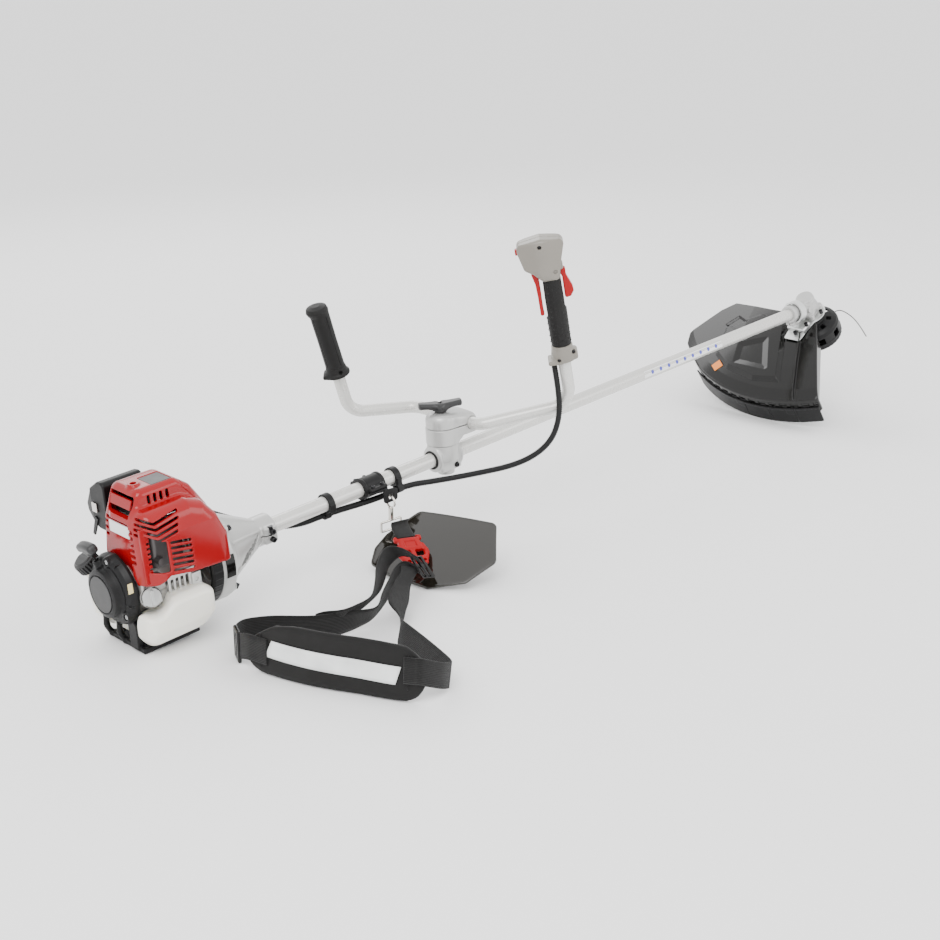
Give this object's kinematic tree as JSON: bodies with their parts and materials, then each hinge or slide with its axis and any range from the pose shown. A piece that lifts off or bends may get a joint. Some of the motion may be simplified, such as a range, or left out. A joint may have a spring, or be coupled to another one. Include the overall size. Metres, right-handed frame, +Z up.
{
  "type": "string trimmer",
  "caption": "Petrol string trimmer with a straight shaft, handlebar grips, a curved guard, a bump-feed line head and a clip-on harness, resting on its skid and guard.",
  "frame": {"origin": "middle of the bounding box at floor height, with the machine standing on its skid and guard", "axes": "+X towards the cutting head, +Y to the machine's left, +Z up"},
  "size_m": [1.9222, 0.7252, 0.5404],
  "materials": {
    "tube_paint": "satin enamel",
    "steel": "machined",
    "cast_alloy": "die cast",
    "bright_chrome": "polished plating",
    "red_cover": "glossy moulded",
    "black_shell": "fine grained",
    "black_gloss": "glossy moulded",
    "grey_shell": "fine grained",
    "milky_tank": "translucent blow moulding",
    "clear_cap": "clear moulding",
    "exhaust": "heat blackened",
    "soft_rubber": "matt",
    "webbing": "ribbed polyester webbing",
    "padding": "woven cover with bound edge",
    "nylon": "extruded line"
  },
  "bodies": {
    "machine": {"outer_tube": "tube_paint", "shaft_liner": "black_shell", "clutch_housing": "cast_alloy", "clamp_bolt": "steel", "crankcase": "cast_alloy", "cylinder_block": "cast_alloy", "rocker_cover": "black_shell", "piston": "cast_alloy", "top_cover": "red_cover", "fan_cover": "black_shell", "muffler": "exhaust", "carburetor": "cast_alloy", "air_cleaner_case": "black_shell", "fuel_tank": "milky_tank", "tank_guard": "black_shell", "recoil_cover": "black_shell", "handle_clamp": "grey_shell", "hanger_clamp": "steel", "throttle_conduit": "black_shell", "gear_case": "cast_alloy", "guard_bracket": "steel", "guard": "black_gloss", "guard_skirt": "black_gloss"},
    "crank": {"crankshaft": "steel", "flywheel_fan": "cast_alloy", "clutch_shoes": "steel"},
    "recoil_pulley": {"recoil_pulley": "black_shell"},
    "starter_grip": {"starter_grip": "black_gloss"},
    "drive_line": {"clutch_drum": "steel", "drive_shaft": "steel", "drive_pinion": "steel"},
    "output": {"output_shaft": "steel", "trimmer_head": "black_gloss", "trimmer_line": "nylon"},
    "bump": {"bump_knob": "black_gloss", "line_spool": "black_shell"},
    "fuel_cap": {"fuel_cap": "black_shell"},
    "oil_cap": {"oil_cap": "clear_cap"},
    "air_cleaner_cover": {"air_cleaner_cover": "black_gloss"},
    "primer_bulb": {"primer_bulb": "soft_rubber"},
    "choke_lever": {"choke_lever": "black_shell"},
    "throttle_cam": {"throttle_cam": "steel"},
    "handlebar": {"handle_holder": "grey_shell", "handle_cap": "grey_shell", "handlebar": "tube_paint", "left_grip": "soft_rubber", "throttle_collar": "grey_shell", "throttle_rubber": "soft_rubber", "throttle_head": "grey_shell"},
    "handle_knob": {"handle_knob": "black_shell"},
    "throttle_trigger": {"throttle_trigger": "red_cover"},
    "throttle_lock": {"throttle_lock": "red_cover"},
    "stop_switch": {"stop_switch": "red_cover"},
    "harness": {"snap_hook": "bright_chrome", "strap_right": "webbing", "strap_left": "webbing", "harness_buckle": "red_cover", "hip_pad": "black_gloss", "shoulder_pad": "padding"},
    "snap_gate": {"snap_gate": "bright_chrome"}
  },
  "joints": [
    {"name": "crank_spin", "type": "hinge", "parent": "machine", "child": "crank", "pos_m": [-0.8681, 0.0746, 0.09886], "axis": [0.9968, 0, 0.08], "continuous": true},
    {"name": "starter_pull", "type": "slide", "parent": "machine", "child": "starter_grip", "axis": [-0.4237, 0.2009, 0.8832], "range_m": [0, 0.5], "stiffness_N_per_m": 12, "springref_m": -0.7},
    {"name": "recoil_spin", "type": "hinge", "parent": "machine", "child": "recoil_pulley", "pos_m": [-0.92791, 0.0746, 0.09405], "axis": [0.9968, 0, 0.08], "range_deg": [0, 1260]},
    {"name": "drive_spin", "type": "hinge", "parent": "machine", "child": "drive_line", "pos_m": [-0.66874, 0.0746, 0.11486], "axis": [0.9968, 0, 0.08], "continuous": true},
    {"name": "output_spin", "type": "hinge", "parent": "machine", "child": "output", "pos_m": [0.86532, 0.0746, 0.23802], "axis": [0.5961, 0, -0.8029], "continuous": true},
    {"name": "bump_press", "type": "slide", "parent": "output", "child": "bump", "axis": [-0.5961, 0, 0.8029], "range_m": [0, 0.004], "stiffness_N_per_m": 2500},
    {"name": "fuel_cap_turn", "type": "hinge", "parent": "machine", "child": "fuel_cap", "pos_m": [-0.90111, 0.1466, 0.08517], "axis": [-0.5842, 0.1196, 0.8027], "range_deg": [0, 90]},
    {"name": "oil_cap_turn", "type": "hinge", "parent": "machine", "child": "oil_cap", "pos_m": [-0.89438, 0.0346, 0.08872], "axis": [-0.301, -0.9185, 0.2563], "range_deg": [0, 180]},
    {"name": "air_cleaner_open", "type": "hinge", "parent": "machine", "child": "air_cleaner_cover", "pos_m": [-0.86457, 0.1589, 0.16736], "axis": [-0.9968, 0, -0.08], "range_deg": [0, 75]},
    {"name": "primer_press", "type": "slide", "parent": "machine", "child": "primer_bulb", "axis": [0, -1, 0], "range_m": [0, 0.006], "stiffness_N_per_m": 1500},
    {"name": "choke_turn", "type": "hinge", "parent": "machine", "child": "choke_lever", "pos_m": [-0.9005, 0.1486, 0.17752], "axis": [0.9968, 0, 0.08], "range_deg": [0, 60]},
    {"name": "cam_turn", "type": "hinge", "parent": "machine", "child": "throttle_cam", "pos_m": [-0.83929, 0.1346, 0.15233], "axis": [0.9968, 0, 0.08], "range_deg": [0, 42]},
    {"name": "handle_swivel", "type": "hinge", "parent": "machine", "child": "handlebar", "pos_m": [-0.26306, 0.0746, 0.17251], "axis": [-0.08, 0, 0.9968], "range_deg": [-90, 15], "deforming": ["throttle_conduit"]},
    {"name": "handle_knob_turn", "type": "hinge", "parent": "handlebar", "child": "handle_knob", "pos_m": [-0.26786, 0.0746, 0.23232], "axis": [-0.08, 0, 0.9968], "range_deg": [0, 360]},
    {"name": "trigger_squeeze", "type": "hinge", "parent": "handlebar", "child": "throttle_trigger", "pos_m": [-0.172, -0.05773, 0.46784], "axis": [-0.6863, -0.7075, -0.1687], "range_deg": [0, 6], "stiffness_Nm_per_rad": 3},
    {"name": "lock_squeeze", "type": "hinge", "parent": "handlebar", "child": "throttle_lock", "pos_m": [-0.13765, -0.09307, 0.47628], "axis": [0.6863, 0.7075, 0.1687], "range_deg": [0, 6], "stiffness_Nm_per_rad": 1.5},
    {"name": "stop_switch_slide", "type": "slide", "parent": "handlebar", "child": "stop_switch", "axis": [-0.2387, 0, 0.9711], "range_m": [0, 0.006]},
    {"name": "harness_swing", "type": "hinge", "parent": "machine", "child": "harness", "pos_m": [-0.41005, 0.0466, 0.11657], "axis": [-1, 0, 0], "range_deg": [0, 35]},
    {"name": "snap_gate_open", "type": "hinge", "parent": "harness", "child": "snap_gate", "pos_m": [-0.41005, 0.0449, 0.09717], "axis": [-1, 0, 0], "range_deg": [0, 25], "stiffness_Nm_per_rad": 0.4}
  ],
  "couplings": [
    {"joint": "recoil_spin", "follows": "starter_pull", "rad_per_m": 43.478},
    {"joint": "output_spin", "follows": "drive_spin", "ratio": 0.73684},
    {"joint": "cam_turn", "follows": "trigger_squeeze", "ratio": 6.8}
  ]
}
